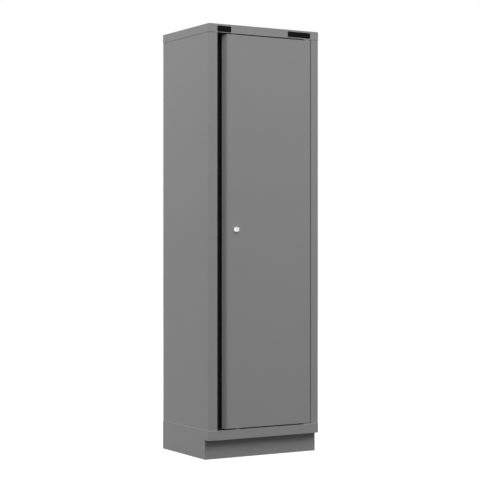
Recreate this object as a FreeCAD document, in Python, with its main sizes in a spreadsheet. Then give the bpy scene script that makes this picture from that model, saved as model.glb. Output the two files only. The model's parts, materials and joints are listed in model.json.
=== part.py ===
import FreeCAD, Part

import math
import operator
import os

import Sketcher

# Tall one-door side locker of folded sheet steel, in millimetres.
# The origin is at the centre of the footprint on the floor. The door faces -Y, +Z is up.
# "Depth" counts backwards from the front face of the posts and the door.

SIZES = {
    # whole locker
    "overall_width": 600.0,
    "overall_depth": 460.0,
    "overall_height": 2000.0,
    "sheet": 1.0,  # thickness of the folded sheet steel
    "bend": 2.2,  # outer radius of an ordinary fold
    "sheet_fit": 0.1,  # gap between nested sheets that are welded together
    "panel_fit": 0.5,  # gap round a panel that drops in between others
    # top and base
    "cap_height": 40.0,
    "corner_radius": 10.0,  # upright front corners of the cap and the base
    "cap_edge_radius": 2.0,
    "base_rail_height": 44.0,
    "base_lip": 12.0,  # folded edges under the base rail and the side plates
    "plinth_height": 90.0,
    "toe_setback": 37.0,
    "toe_return": 40.0,
    "toe_corner": 3.0,
    "tray_wall": 30.0,
    "rear_rail_flange": 30.0,
    "rear_return": 22.0,  # folded rear edge of the side panels and the base
    # posts
    "post_width": 44.0,
    "post_depth": 45.0,
    "post_lip": 18.0,
    # door
    "door_gap_top": 4.5,
    "door_gap_bottom": 5.5,
    "door_gap_side": 3.0,
    "door_thickness": 28.0,
    "grip_opening": 36.0,  # clear width between the left post and the door's grip edge
    "grip_radius": 20.0,  # fold between the door's face and its slanted grip
    "hem_radius": 4.0,
    "hem_width": 10.0,
    "pan_margin": 28.5,  # from the grip edge to the side of the inner pan
    "pan_flange": 12.0,
    "stiffener_width": 60.0,
    "stiffener_foot": 15.0,
    "stiffener_depth": 24.0,
    "stiffener_margin": 80.0,
    # finger pull channel and its seal
    "channel_wall": 2.0,
    "channel_depth": 54.0,
    "channel_width": 56.0,
    "channel_setback": 2.0,
    "channel_radius": 5.0,
    "seal_thickness": 3.5,
    "seal_width": 9.0,
    "seal_inset": 8.5,
    "stop_flange": 22.0,
    "seal_squeeze_gap": 0.5,
    # hinges
    "hinge_inset": 14.0,  # pivot to the door's right edge
    "hinge_depth": 8.0,
    "hinge_plate": 2.0,
    "hinge_plate_length": 41.0,
    "hinge_plate_depth": 26.0,
    "hinge_plate_setback": 1.5,
    "pin_radius": 4.0,
    "pin_head_radius": 6.0,
    "pin_head": 2.0,
    "pin_reach": 13.0,  # length of the pin inside the door
    "pin_press_gap": 0.02,
    "pin_running_gap": 0.08,
    "bush_flange_radius": 6.6,
    "bush_flange": 2.4,
    "bush_radius": 5.5,
    "bush_length": 14.0,
    "bush_gap": 0.05,
    # lock
    "lock_from_edge": 64.5,
    "lock_height": 918.0,  # above the door's bottom edge
    "bezel_radius": 14.0,
    "bezel_stand": 9.5,
    "bezel_taper": 4.0,  # the bezel's cone narrows by this much on its radius
    "bezel_slope": 6.0,  # over this much of its length
    "housing_radius": 9.5,
    "housing_length": 26.0,
    "housing_gap": 0.1,
    "pan_lock_hole": 11.5,
    "plug_radius": 7.0,
    "plug_gap": 0.05,
    "plug_recess": 0.6,
    "key_slot_width": 2.4,
    "key_slot_height": 9.5,
    "key_slot_depth": 14.0,
    "tail_radius": 4.0,
    "tail_flat": 3.0,  # from the axis to the flats of the tail
    "tail_gap": 0.1,
    "tail_shoulder": 1.2,  # round length of the tail behind the housing
    "lock_nut_flats": 25.0,
    "lock_nut_height": 4.0,
    # cam and locking rods
    "cam_radius": 13.0,
    "cam_width": 12.0,
    "cam_end": 6.5,
    "cam_thickness": 2.5,
    "cam_gap": 0.5,
    "drive_pin_radius": 2.0,
    "drive_pin_end_gap": 0.3,
    "slot_play": 0.7,
    "slot_flat": 0.5,  # flat left between the two round corners at each end of a rod's slot
    "screw_head_radius": 4.5,
    "screw_head_height": 3.0,
    "screw_shank_radius": 2.0,
    "screw_shank_length": 8.0,
    "screw_gap": 0.1,
    "rod_width": 13.0,
    "rod_thickness": 3.0,
    "rod_gap": 0.3,  # between the door's inner face and the rods
    "rod_head": 6.0,
    "rod_tip_radius": 4.0,
    "rod_retreat": 1.5,  # unlocked rod ends stay this far inside the door's height
    "guide_wall": 1.5,
    "guide_foot": 6.0,
    "guide_height": 16.0,
    "guide_play": 0.2,
    "guide_end_distance": 150.0,
    "guide_lock_distance": 260.0,
    "keeper_width": 22.0,
    "keeper_length": 38.0,
    "keeper_thickness": 2.0,
    "keeper_play": 1.0,
    "keeper_slot_play": 2.0,
    # shelves and their uprights
    "upright_width": 25.0,
    "upright_depth": 12.0,
    "upright_front_depth": 80.0,
    "upright_rear_margin": 60.0,
    "upright_end_gap": 12.0,
    "slot_pitch": 50.0,
    "slot_width": 14.0,
    "slot_height": 5.0,
    "first_slot": 40.0,
    "shelf_front_depth": 62.0,
    "shelf_back_gap": 4.0,
    "shelf_side_gap": 1.5,
    "shelf_sheet": 1.0,
    "shelf_edge": 25.0,
    "shelf_hem": 12.0,
    "shelf_end_flange": 18.0,
    "shelf_spacing_slots": 7.0,
    "first_shelf_slots": 6.0,
    "clip_plate": 2.0,
    "clip_height": 22.0,
    "clip_ledge": 13.0,
    "clip_width": 13.0,
    "clip_hook_gap": 0.5,
    "clip_hook_drop": 6.0,
    # levelling feet
    "foot_rail_width": 60.0,
    "foot_rail_wall": 2.5,
    "foot_rail_height": 45.0,
    "foot_rail_level": 30.0,
    "foot_rail_end_gap": 3.0,
    "foot_side_inset": 38.0,
    "foot_end_inset": 35.0,
    "foot_clear": 1.0,  # pads hang this far above the floor until they are screwed down
    "foot_pad_flats": 32.0,
    "foot_pad_height": 12.0,
    "foot_socket_floor": 4.0,
    "foot_stud_radius": 5.0,
    "foot_stud_length": 78.0,
    "foot_socket_gap": 0.05,
    "foot_nut_flats": 19.0,
    "foot_nut_height": 9.0,
    "foot_nut_gap": 0.08,
    "foot_rail_hole_gap": 0.6,
    # badges on the cap, left blank
    "badge_thickness": 1.5,
    "badge_recess": 0.5,
    "badge_rim": 1.5,
    "badge_radius": 4.0,
    "left_badge_width": 72.0,
    "left_badge_height": 27.0,
    "left_badge_edge": 44.5,  # from the cap's left face
    "left_badge_lift": 4.0,  # above the cap's lower edge
    "right_badge_width": 125.0,
    "right_badge_height": 25.0,
    "right_badge_edge": 50.5,  # from the cap's right face
    "right_badge_lift": 6.0,
    # wall fixing holes in the back panel
    "wall_hole_radius": 4.0,
    "wall_hole_spacing": 400.0,
    "wall_hole_level": 420.0,
    "wall_hole_drop": 180.0,  # upper holes below the top
}

SHELF_COUNT = 4
CAM_ANGLE = 45  # degrees that the cam's arms stand off the level at either end of the key's turn
CAM_STEP = math.sqrt(0.5)  # sine and cosine of that angle
GRIP_ANGLE = math.radians(52)  # the door's slanted grip turns back this far from its face
GRIP_SINE = math.sin(GRIP_ANGLE)
GRIP_COSINE = math.cos(GRIP_ANGLE)
HEXAGON = 6
OPERATORS = {"+": operator.add, "-": operator.sub, "*": operator.mul, "/": operator.truediv}


# ---- formulas: numbers that carry their own spreadsheet expression ----


class Size:
    """A length with its formula in the spreadsheet's terms and its present value."""

    def __init__(self, formula, value):
        self.formula = formula
        self.value = value

    def __add__(self, other):
        return combine(self, "+", other)

    def __sub__(self, other):
        return combine(self, "-", other)

    def __rsub__(self, other):
        return combine(other, "-", self)

    def __mul__(self, other):
        return combine(self, "*", other)

    def __truediv__(self, other):
        return combine(self, "/", other)

    def __neg__(self):
        return combine(0.0, "-", self)


def as_size(number):
    if isinstance(number, Size):
        return number
    return Size(f"({float(number)!r})", float(number))


def combine(left, sign, right):
    left = as_size(left)
    right = as_size(right)
    value = OPERATORS[sign](left.value, right.value)
    return Size(f"({left.formula} {sign} {right.formula})", value)


def whole(size):
    """The formula rounded down to a whole number."""
    return Size(f"floor({size.formula})", math.floor(size.value))


def bind(thing, field, size):
    thing.setExpression(field, as_size(size).formula)


class Sheet:
    """The spreadsheet of driving sizes, read as attributes."""

    def __init__(self, document, sizes):
        self.cells = document.addObject("Spreadsheet::Sheet", "sizes")
        for row, (name, value) in enumerate(sizes.items(), start=1):
            self.cells.set(f"A{row}", name)
            self.cells.set(f"B{row}", str(value))
            self.cells.setAlias(f"B{row}", name)
            setattr(self, name, Size(f"sizes.{name}", value))


document = FreeCAD.newDocument("side_locker")
s = Sheet(document, SIZES)
document.recompute()

# ---- planes and levels shared by several pieces ----

lip = s.sheet + s.sheet_fit  # the cap and the base stand this far proud of the panels
half_width = s.overall_width / 2
back = s.overall_depth / 2
front = -back
face = front + lip  # front face of the posts and the door
side = half_width - lip  # outer face of a side panel
side_inner = side - s.sheet
base_top = s.plinth_height + s.base_rail_height
cap_bottom = s.overall_height - s.cap_height
cap_ceiling = s.overall_height - s.sheet
post_edge = side - s.post_width
rear = back - lip  # outer face of the side panels' rear edges
back_panel_rear = rear - s.sheet
back_panel_front = back_panel_rear - s.sheet
panel_bottom = base_top - s.tray_wall
through_sheet = s.sheet * 3  # from one thickness before a sheet to one behind it

door_left = s.grip_opening - post_edge
door_right = post_edge - s.door_gap_side
door_bottom = base_top + s.door_gap_bottom
door_top = cap_bottom - s.door_gap_top
door_height = door_top - door_bottom
door_rear = face + s.door_thickness
pan_left = door_left + s.pan_margin
hinge_x = door_right - s.hinge_inset
hinge_y = face + s.hinge_depth

lock_x = door_left + s.lock_from_edge
lock_z = door_bottom + s.lock_height
cam_side = s.cam_radius * CAM_STEP  # drive pins stand this far beside and below the axis
rod_travel = cam_side * 2
rod_offset = (s.cam_radius + cam_side) / 2
rod_front = door_rear + s.rod_gap
rod_rear = rod_front + s.rod_thickness
rod_middle = (rod_front + rod_rear) / 2
cam_front = rod_rear + s.cam_gap
cam_rear = cam_front + s.cam_thickness

channel_left = -post_edge
channel_right = channel_left + s.channel_width
channel_stop = door_rear + s.seal_squeeze_gap + s.seal_thickness

upright_face = side_inner - s.upright_depth
upright_bottom = base_top + s.upright_end_gap
upright_length = cap_bottom - base_top - s.upright_end_gap * 2
upright_front = face + s.upright_front_depth
upright_rear = back_panel_front - s.upright_rear_margin - s.upright_width
slot_count = whole((upright_length - s.first_slot * 2) / s.slot_pitch) + 1

foot_rail_front = front + s.toe_setback + s.toe_return + s.foot_rail_end_gap
foot_rail_rear = rear - s.rear_rail_flange - s.foot_rail_end_gap
foot_rail_side = half_width - lip
foot_x = foot_rail_side - s.foot_side_inset
foot_front_y = foot_rail_front + s.foot_end_inset
foot_rear_y = foot_rail_rear - s.foot_end_inset
SIDES = {"left": -1, "right": 1}


# ---- sketches and features ----


def new_body(name, x=0, y=0, z=0):
    """Empty body with its own label, placed by the sheet."""
    body = document.addObject("PartDesign::Body", name)
    body.Label = name
    for axis, place in zip("xyz", (x, y, z)):
        bind(body, f"Placement.Base.{axis}", place)
    return body


def origin_part(body, role):
    return next(part for part in body.Origin.OriginFeatures if part.Role == role)


def new_sketch(body, plane, height=0):
    """Empty sketch on one of the body's origin planes, moved along that plane's normal.

    The normals are +Z for XY_Plane, -Y for XZ_Plane and +X for YZ_Plane."""
    sketch = body.newObject("Sketcher::SketchObject", f"{body.Name}_sketch")
    sketch.AttachmentSupport = [(origin_part(body, plane), "")]
    sketch.MapMode = "FlatFace"
    bind(sketch, "AttachmentOffset.Base.z", height)
    return sketch


def vector(point):
    return FreeCAD.Vector(point[0].value, point[1].value, 0)


def heading(start, end):
    """Whole-number step along X and Y from one corner to the next."""
    step = vector(end).sub(vector(start)).normalize()
    return round(step.x), round(step.y)


def shifted(point, size, steps):
    """The point moved by this size times a whole number of steps along X and Y."""
    moved = []
    for place, step in zip(point, steps):
        if step > 0:
            place = place + size
        elif step < 0:
            place = place - size
        moved.append(place)
    return tuple(moved)


def left_of(steps):
    return -steps[1], steps[0]


def turn_of(before, after):
    """1 for a turn to the left, -1 for a turn to the right."""
    return before[0] * after[1] - before[1] * after[0]


def arc_between(start, end, centre, turn):
    """Arc of a circle, with which of its ends is the start and which the end."""
    circle = Part.Circle(vector(centre), FreeCAD.Vector(0, 0, 1), 1)
    circle.Radius = vector(start).distanceToPoint(vector(centre))
    first, last = (start, end) if turn > 0 else (end, start)
    arc = Part.ArcOfCircle(circle, circle.parameter(vector(first)), circle.parameter(vector(last)))
    return arc, (1, 2) if turn > 0 else (2, 1)


def pin_point(sketch, rules, index, end, point):
    """Holds one end of a line or arc at its formula, measured from the sketch's origin."""
    for kind, place in zip(("DistanceX", "DistanceY"), point):
        rules.append((Sketcher.Constraint(kind, -1, 1, index, end, place.value), place))


def add_rules(sketch, rules):
    """Adds the constraints in one step and binds each one that has a formula."""
    first = sketch.ConstraintCount
    sketch.addConstraint([rule for rule, _ in rules])
    for index, (_, size) in enumerate(rules, start=first):
        if size is not None:
            bind(sketch, f"Constraints[{index}]", size)


def sharp(x, y):
    """A corner that isn't rounded, in the form that draw_corners takes."""
    point = (as_size(x), as_size(y))
    return point, point, None, 0


def rounded(start, end, centre, radius, turn):
    """A corner rounded by an arc, for sides that aren't square to each other."""
    start, end, centre = ((as_size(x), as_size(y)) for x, y in (start, end, centre))
    return start, end, (centre, as_size(radius)), turn


def walked_back(corners):
    return [(end, start, rounding, -turn) for start, end, rounding, turn in reversed(corners)]


def draw_outline(sketch, corners):
    """Closed outline through the corners. A third number rounds a corner of square sides."""
    corners = with_size(corners)
    shaped = []
    for index, corner in enumerate(corners):
        point = corner[:2]
        following = corners[(index + 1) % len(corners)]
        if len(corner) == 2:
            shaped.append(sharp(*point))
            continue
        before = heading(corners[index - 1], corner)
        after = heading(corner, following)
        start = shifted(point, corner[2], (-before[0], -before[1]))
        end = shifted(point, corner[2], after)
        centre = shifted(start, corner[2], after)
        shaped.append(rounded(start, end, centre, corner[2], turn_of(before, after)))
    draw_corners(sketch, shaped)


def draw_corners(sketch, pieces):
    """Closed outline through sharp and rounded corners, joined by straight lines."""
    rules = []
    ends = []
    for index, (start, end, rounding, turn) in enumerate(pieces):
        if rounding:
            centre, radius = rounding
            arc, (start_end, finish_end) = arc_between(start, end, centre, turn)
            number = sketch.addGeometry(arc)
            rules.append((Sketcher.Constraint("Radius", number, radius.value), radius))
            pin_point(sketch, rules, number, start_end, start)
            ends.append((number, start_end, finish_end))
        line_end = pieces[(index + 1) % len(pieces)][0]
        number = sketch.addGeometry(Part.LineSegment(vector(end), vector(line_end)))
        pin_point(sketch, rules, number, 1, end)
        ends.append((number, 1, 2))
    for (number, _, finish_end), (next_number, start_end, _) in zip(ends, ends[1:] + ends[:1]):
        rules.append(
            (Sketcher.Constraint("Coincident", number, finish_end, next_number, start_end), None)
        )
    add_rules(sketch, rules)


def draw_circle(sketch, x, y, radius):
    point = (as_size(x), as_size(y))
    circle = Part.Circle(vector(point), FreeCAD.Vector(0, 0, 1), as_size(radius).value)
    number = sketch.addGeometry(circle)
    rules = [(Sketcher.Constraint("Radius", number, as_size(radius).value), as_size(radius))]
    pin_point(sketch, rules, number, 3, point)
    add_rules(sketch, rules)


def rectangle(x, y, width, height, radius=None):
    """Corners of a rectangle from its lowest corner, rounded where a radius is given."""
    corners = [(x, y), (x + width, y), (x + width, y + height), (x, y + height)]
    if radius is None:
        return corners
    return [corner + (radius,) for corner in corners]


def centred(x, y, width, height, radius=None):
    return rectangle(x - width / 2, y - height / 2, width, height, radius)


def hexagon(flats):
    """Corners of a hexagon round the origin, from its width across flats."""
    reach = flats / math.sqrt(3)
    turns = [math.radians(60 * step) for step in range(HEXAGON)]
    return [(reach * math.cos(turn), reach * math.sin(turn)) for turn in turns]


def with_size(run):
    return [tuple(as_size(value) for value in corner) for corner in run]


def mirrored(run):
    """The same run on the other side, walked the other way so that left stays left."""
    return [(-corner[0],) + corner[1:] for corner in reversed(with_size(run))]


def turned(run):
    """The run walked the other way, so that a folded sheet lies on its other side."""
    return run[::-1]


def folded_sheet(run, thickness):
    """Closed outline of a folded sheet whose outer face follows the square run.

    The thickness lies to the left of the run. A corner's third number is the fold's radius
    on the run's own side."""
    run = with_size(run)
    steps = [heading(start, end) for start, end in zip(run, run[1:])]
    inner = [shifted(run[0][:2], thickness, left_of(steps[0]))]
    for corner, before, after in zip(run[1:-1], steps, steps[1:]):
        point = shifted(corner[:2], thickness, left_of(before))
        point = shifted(point, thickness, left_of(after))
        if len(corner) == 3:
            change = -thickness if turn_of(before, after) > 0 else thickness
            point = point + (corner[2] + change,)
        inner.append(point)
    inner.append(shifted(run[-1][:2], thickness, left_of(steps[-1])))
    return run + inner[::-1]


def inset(corners, distance):
    """A closed outline, walked with its inside on the left, moved inwards."""
    corners = with_size(corners)
    moved = []
    for index, corner in enumerate(corners):
        following = corners[(index + 1) % len(corners)]
        before = heading(corners[index - 1], corner)
        after = heading(corner, following)
        point = shifted(corner[:2], distance, left_of(before))
        point = shifted(point, distance, left_of(after))
        if len(corner) == 3:
            change = -distance if turn_of(before, after) > 0 else distance
            point = point + (corner[2] + change,)
        moved.append(point)
    return moved


def pad(body, sketch, length):
    """Adds the sketch's outlines along the sketch's normal."""
    feature = body.newObject("PartDesign::Pad", f"{body.Name}_pad")
    feature.Profile = sketch
    bind(feature, "Length", length)
    document.recompute()
    return feature


def cut(body, sketch, depth):
    """Cuts the sketch's outlines along the sketch's normal."""
    before = body.Shape.Volume
    feature = body.newObject("PartDesign::Pocket", f"{body.Name}_cut")
    feature.Profile = sketch
    feature.Reversed = True
    bind(feature, "Length", depth)
    document.recompute()
    if body.Shape.Volume >= before:
        raise RuntimeError(f"the cut in {body.Label} removes nothing")
    return feature


def revolve(body, sketch):
    """Turns the sketch's outline right round the sketch's upright axis."""
    feature = body.newObject("PartDesign::Revolution", f"{body.Name}_revolution")
    feature.Profile = sketch
    feature.ReferenceAxis = (sketch, ["V_Axis"])
    feature.Angle = 360
    document.recompute()
    return feature


def round_edges(body, radius, wanted):
    """Rounds the edges of the body's last feature for which wanted(edge) is true."""
    feature = body.Tip
    names = [f"Edge{n}" for n, edge in enumerate(feature.Shape.Edges, start=1) if wanted(edge)]
    fillet = body.newObject("PartDesign::Fillet", f"{body.Name}_fillet")
    fillet.Base = (feature, names)
    bind(fillet, "Radius", radius)
    document.recompute()
    return fillet


def extruded(name, plane, outlines, height, length, place=(0, 0, 0)):
    """Body of one or more outlines padded from a height above one of its origin planes."""
    body = new_body(name, *place)
    sketch = new_sketch(body, plane, height)
    for outline in outlines:
        draw_outline(sketch, outline)
    pad(body, sketch, length)
    return body


def add_block(body, plane, outline, height, length):
    sketch = new_sketch(body, plane, height)
    draw_outline(sketch, outline)
    pad(body, sketch, length)


def cut_block(body, plane, outline, height, depth):
    sketch = new_sketch(body, plane, height)
    draw_outline(sketch, outline)
    return cut(body, sketch, depth)


def cut_hole(body, plane, x, y, radius, height, depth):
    sketch = new_sketch(body, plane, height)
    draw_circle(sketch, x, y, radius)
    cut(body, sketch, depth)


# ---- carcass panels ----


def side_panel(hand):
    """Side sheet with its folded rear edge and, at the front, the post and its return."""
    run = [
        (s.rear_return - side, rear),
        (-side, rear, s.bend),
        (-side, face, s.corner_radius - lip),
        (-post_edge, face, s.bend),
        (-post_edge, face + s.post_depth, s.bend),
        (-post_edge - s.post_lip, face + s.post_depth),
    ]
    if hand == "right":
        run = mirrored(run)
    height = cap_ceiling - panel_bottom
    return extruded(
        f"{hand}_side_panel", "XY_Plane", [folded_sheet(run, s.sheet)], 0, height,
        (0, 0, panel_bottom),
    )


def back_panel():
    """Flat sheet in front of the side panels' rear edges, with four wall fixing holes."""
    outline = centred(as_size(0), as_size(0), (side - s.bend) * 2, s.sheet)
    middle = (back_panel_rear + back_panel_front) / 2
    height = cap_ceiling - panel_bottom
    body = extruded("back_panel", "XY_Plane", [outline], 0, height, (0, middle, panel_bottom))
    sketch = new_sketch(body, "XZ_Plane", -s.sheet)
    for level in (s.wall_hole_level, s.overall_height - s.wall_hole_drop):
        for hand in SIDES.values():
            x = s.wall_hole_spacing / 2 * hand
            draw_circle(sketch, x, level - panel_bottom, s.wall_hole_radius)
    cut(body, sketch, s.sheet * 2)
    return body


def tray_outline():
    """Plan of the floor and ceiling trays: between the side panels, notched round the posts."""
    width = side_inner - s.sheet_fit
    neck = post_edge - s.sheet_fit
    shoulder = face + s.post_depth + s.sheet_fit
    tray_rear = back_panel_front - s.sheet_fit
    return [
        (-neck, face), (neck, face), (neck, shoulder), (width, shoulder),
        (width, tray_rear), (-width, tray_rear), (-width, shoulder), (-neck, shoulder),
    ]


def tray(name, level, inner_level, height, keeper_x):
    """Sheet with walls all round, with the hole of the hinge pin and the slot of a rod."""
    outline = tray_outline()
    body = extruded(name, "XY_Plane", [outline], 0, height, (0, 0, level))
    cut_block(body, "XY_Plane", inset(outline, s.sheet), inner_level, height - s.sheet)
    pin_hole = s.pin_radius + s.pin_press_gap
    cut_hole(body, "XY_Plane", hinge_x, hinge_y, pin_hole, 0, height)
    width = s.rod_width + s.keeper_slot_play * 2
    depth = s.rod_thickness + s.keeper_slot_play * 2
    cut_block(body, "XY_Plane", centred(keeper_x, rod_middle, width, depth), 0, height)
    return body


def floor_tray():
    return tray("floor_tray", panel_bottom, 0, s.tray_wall, lock_x + rod_offset)


def ceiling_tray():
    height = cap_ceiling - cap_bottom
    return tray("ceiling_tray", cap_bottom, s.sheet, height, lock_x - rod_offset)


def cap_outline():
    return [
        (-half_width, front, s.corner_radius), (half_width, front, s.corner_radius),
        (half_width, back, s.bend), (-half_width, back, s.bend),
    ]


def top_cap():
    """Lid over the whole carcass, with round front corners and a softened upper edge."""
    outline = cap_outline()
    body = extruded("top_cap", "XY_Plane", [outline], 0, s.cap_height, (0, 0, cap_bottom))
    top = s.cap_height.value
    round_edges(body, s.cap_edge_radius, lambda edge: min(v.Z for v in edge.Vertexes) == top)
    cut_block(body, "XY_Plane", inset(outline, s.sheet), 0, s.cap_height - s.sheet)
    return body


def base_skirt():
    """Front rail and both side plates from one sheet, with the toe notch cut out."""
    left_half = [
        (s.rear_return - half_width, back),
        (-half_width, back, s.bend),
        (-half_width, front, s.corner_radius),
    ]
    run = left_half + mirrored(left_half)
    body = extruded("base_skirt", "XY_Plane", [folded_sheet(run, s.sheet)], 0, base_top)
    notch_width = s.overall_width + s.sheet * 2
    notch = rectangle(front - s.sheet, -s.sheet, s.toe_setback + s.sheet, s.plinth_height + s.sheet)
    cut_block(body, "YZ_Plane", notch, -notch_width / 2, notch_width)
    rail_lip = rectangle(
        s.corner_radius - half_width, front + s.sheet / 2,
        (half_width - s.corner_radius) * 2, s.base_lip,
    )
    add_block(body, "XY_Plane", rail_lip, s.plinth_height, s.sheet)
    lip_start = front + s.toe_setback + s.toe_return + s.sheet
    lip_length = foot_rail_rear - lip_start
    for hand in SIDES.values():
        middle = (half_width - s.base_lip / 2 - s.sheet / 2) * hand
        outline = centred(middle, lip_start + lip_length / 2, s.base_lip, lip_length)
        add_block(body, "XY_Plane", outline, 0, s.sheet)
    return body


def toe_kick_panel():
    """Set-back front of the plinth, folded back inside the side plates."""
    toe = front + s.toe_setback
    half = half_width - lip
    run = [
        (-half, toe + s.toe_return), (-half, toe, s.toe_corner),
        (half, toe, s.toe_corner), (half, toe + s.toe_return),
    ]
    return extruded("toe_kick_panel", "XY_Plane", [folded_sheet(run, s.sheet)], 0, panel_bottom)


def plinth_rear_rail():
    """Channel across the back of the plinth, behind the folded edges of the side plates."""
    front_edge = rear - s.rear_rail_flange
    run = [
        (front_edge, 0), (rear, 0, s.bend),
        (rear, panel_bottom, s.bend), (front_edge, panel_bottom),
    ]
    half = half_width - s.bend
    return extruded("plinth_rear_rail", "YZ_Plane", [folded_sheet(run, s.sheet)], -half, half * 2)


# ---- levelling feet ----


def foot_rail(hand):
    """Angle along a side plate that carries two weld nuts."""
    direction = SIDES[hand]
    level = s.foot_rail_level
    run = [
        (-foot_rail_side, level + s.foot_rail_height),
        (-foot_rail_side, level, s.bend + s.foot_rail_wall),
        (s.foot_rail_width - foot_rail_side, level),
    ]
    if direction > 0:
        run = mirrored(run)
    length = foot_rail_rear - foot_rail_front
    outline = folded_sheet(run, s.foot_rail_wall)
    body = extruded(f"{hand}_foot_rail", "XZ_Plane", [outline], -foot_rail_rear, length)
    sketch = new_sketch(body, "XY_Plane", level - s.foot_rail_wall)
    for y in (foot_front_y, foot_rear_y):
        draw_circle(sketch, foot_x * direction, y, s.foot_stud_radius + s.foot_rail_hole_gap)
    cut(body, sketch, s.foot_rail_wall * 3)
    return body


def foot_nuts():
    """Four weld nuts on the foot rails."""
    body = new_body("foot_nuts", 0, 0, s.foot_rail_level + s.foot_rail_wall)
    outer = new_sketch(body, "XY_Plane")
    bore = new_sketch(body, "XY_Plane")
    for direction in SIDES.values():
        for y in (foot_front_y, foot_rear_y):
            x = foot_x * direction
            draw_outline(outer, [(x + px, y + py) for px, py in hexagon(s.foot_nut_flats)])
            draw_circle(bore, x, y, s.foot_stud_radius + s.foot_nut_gap)
    pad(body, outer, s.foot_nut_height)
    cut(body, bore, s.foot_nut_height)
    return body


def foot_stud(name, x, y):
    """Threaded stud, the thread left plain."""
    body = new_body(name, x, y, s.foot_clear + s.foot_socket_floor)
    sketch = new_sketch(body, "XY_Plane")
    draw_circle(sketch, 0, 0, s.foot_stud_radius)
    pad(body, sketch, s.foot_stud_length)
    return body


def foot_pad(name, x, y):
    """Moulded hexagonal pad that a spanner turns, with the socket of its stud."""
    outline = hexagon(s.foot_pad_flats)
    height = s.foot_pad_height
    body = extruded(name, "XY_Plane", [outline], 0, height, (x, y, s.foot_clear))
    socket = s.foot_stud_radius + s.foot_socket_gap
    cut_hole(body, "XY_Plane", 0, 0, socket, s.foot_socket_floor, height)
    return body


# ---- finger pull channel ----


def finger_pull_channel():
    """Extruded lining of the finger pull: a deep gutter that ends in the door's stop flange."""
    run = [
        (channel_left, face + s.channel_setback),
        (channel_left, face + s.channel_depth + s.channel_wall, s.channel_radius + s.channel_wall),
        (channel_right, face + s.channel_depth + s.channel_wall, s.channel_radius + s.channel_wall),
        (channel_right, channel_stop + s.channel_wall, s.bend),
        (channel_right + s.stop_flange, channel_stop + s.channel_wall),
    ]
    outline = folded_sheet(turned(run), s.channel_wall)
    height = cap_bottom - base_top
    return extruded("finger_pull_channel", "XY_Plane", [outline], 0, height, (0, 0, base_top))


def door_seal_strip():
    """Soft strip on the stop flange that the closed door meets."""
    left = channel_right + s.seal_inset
    outline = rectangle(left, channel_stop - s.seal_thickness, s.seal_width, s.seal_thickness)
    bottom = door_bottom + s.corner_radius
    height = door_height - s.corner_radius * 2
    return extruded("door_seal_strip", "XY_Plane", [outline], 0, height, (0, 0, bottom))


# ---- door ----


def door_corners(inwards):
    """Corners of the door's plan from its hem round the grip and the front to the right fold.

    They lie this far inside the sheet's outer face. The grip is the slanted plane that
    touches both the fold beside the door's face and the hem behind it."""
    fold = s.grip_radius - inwards
    hem = s.hem_radius - inwards
    right_fold = s.bend - inwards
    hem_centre = (door_left + s.hem_radius, door_rear - s.hem_radius)
    depth = s.grip_radius + s.hem_radius - s.door_thickness
    width = (s.grip_radius - s.hem_radius - depth * GRIP_COSINE) / GRIP_SINE
    fold_centre = (hem_centre[0] + width, face + s.grip_radius)
    right_centre = (door_right - s.bend, face + s.bend)

    def on_grip(centre, radius):
        return centre[0] - radius * GRIP_SINE, centre[1] - radius * GRIP_COSINE

    return [
        rounded((hem_centre[0], hem_centre[1] + hem), on_grip(hem_centre, hem), hem_centre, hem, 1),
        rounded(on_grip(fold_centre, fold), (fold_centre[0], fold_centre[1] - fold),
                fold_centre, fold, 1),
        rounded((right_centre[0], right_centre[1] - right_fold),
                (right_centre[0] + right_fold, right_centre[1]), right_centre, right_fold, 1),
    ]


def door_skin():
    """Front sheet: slanted grip with a hem, folded right edge, and end plates."""
    hem_end = door_left + s.hem_width
    outer = [sharp(hem_end, door_rear), *door_corners(0), sharp(door_right, door_rear)]
    inner = [
        sharp(hem_end, door_rear - s.sheet), *door_corners(s.sheet),
        sharp(door_right - s.sheet, door_rear),
    ]
    body = new_body("door_skin", 0, 0, door_bottom)
    sketch = new_sketch(body, "XY_Plane")
    draw_corners(sketch, outer + walked_back(inner))
    pad(body, sketch, door_height)
    middle = s.sheet / 2
    for level in (as_size(0), door_height - s.sheet):
        sketch = new_sketch(body, "XY_Plane", level)
        corner = sharp(door_right - middle, door_rear - middle)
        draw_corners(sketch, [*door_corners(middle), corner])
        pad(body, sketch, s.sheet)
    cut_hole(body, "XY_Plane", hinge_x, hinge_y, s.bush_radius + s.bush_gap, 0, door_height)
    hole = s.housing_radius + s.housing_gap
    cut_hole(body, "XZ_Plane", lock_x, s.lock_height, hole, -(face + s.sheet * 2), through_sheet)
    return body


def door_inner_pan():
    """Back sheet of the door, with flanges that reach towards the skin."""
    right = door_right - s.sheet - s.panel_fit
    left_front = face + s.sheet + s.sheet_fit
    run = [
        (pan_left, left_front), (pan_left, door_rear, s.bend),
        (right, door_rear, s.bend), (right, door_rear - s.pan_flange),
    ]
    outline = folded_sheet(turned(run), s.sheet)
    gap = s.sheet + s.panel_fit
    height = door_height - gap * 2
    body = extruded("door_inner_pan", "XY_Plane", [outline], 0, height, (0, 0, door_bottom + gap))
    width = right - pan_left - s.sheet
    middle = (right + pan_left) / 2
    for level in (as_size(0), height - s.sheet):
        flange = centred(middle, door_rear - s.pan_flange / 2 - s.sheet / 2, width, s.pan_flange)
        add_block(body, "XY_Plane", flange, level, s.sheet)
    lock_level = s.lock_height - gap
    height_above = -(door_rear + s.sheet)
    cut_hole(body, "XZ_Plane", lock_x, lock_level, s.pan_lock_hole, height_above, through_sheet)
    return body


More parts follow.
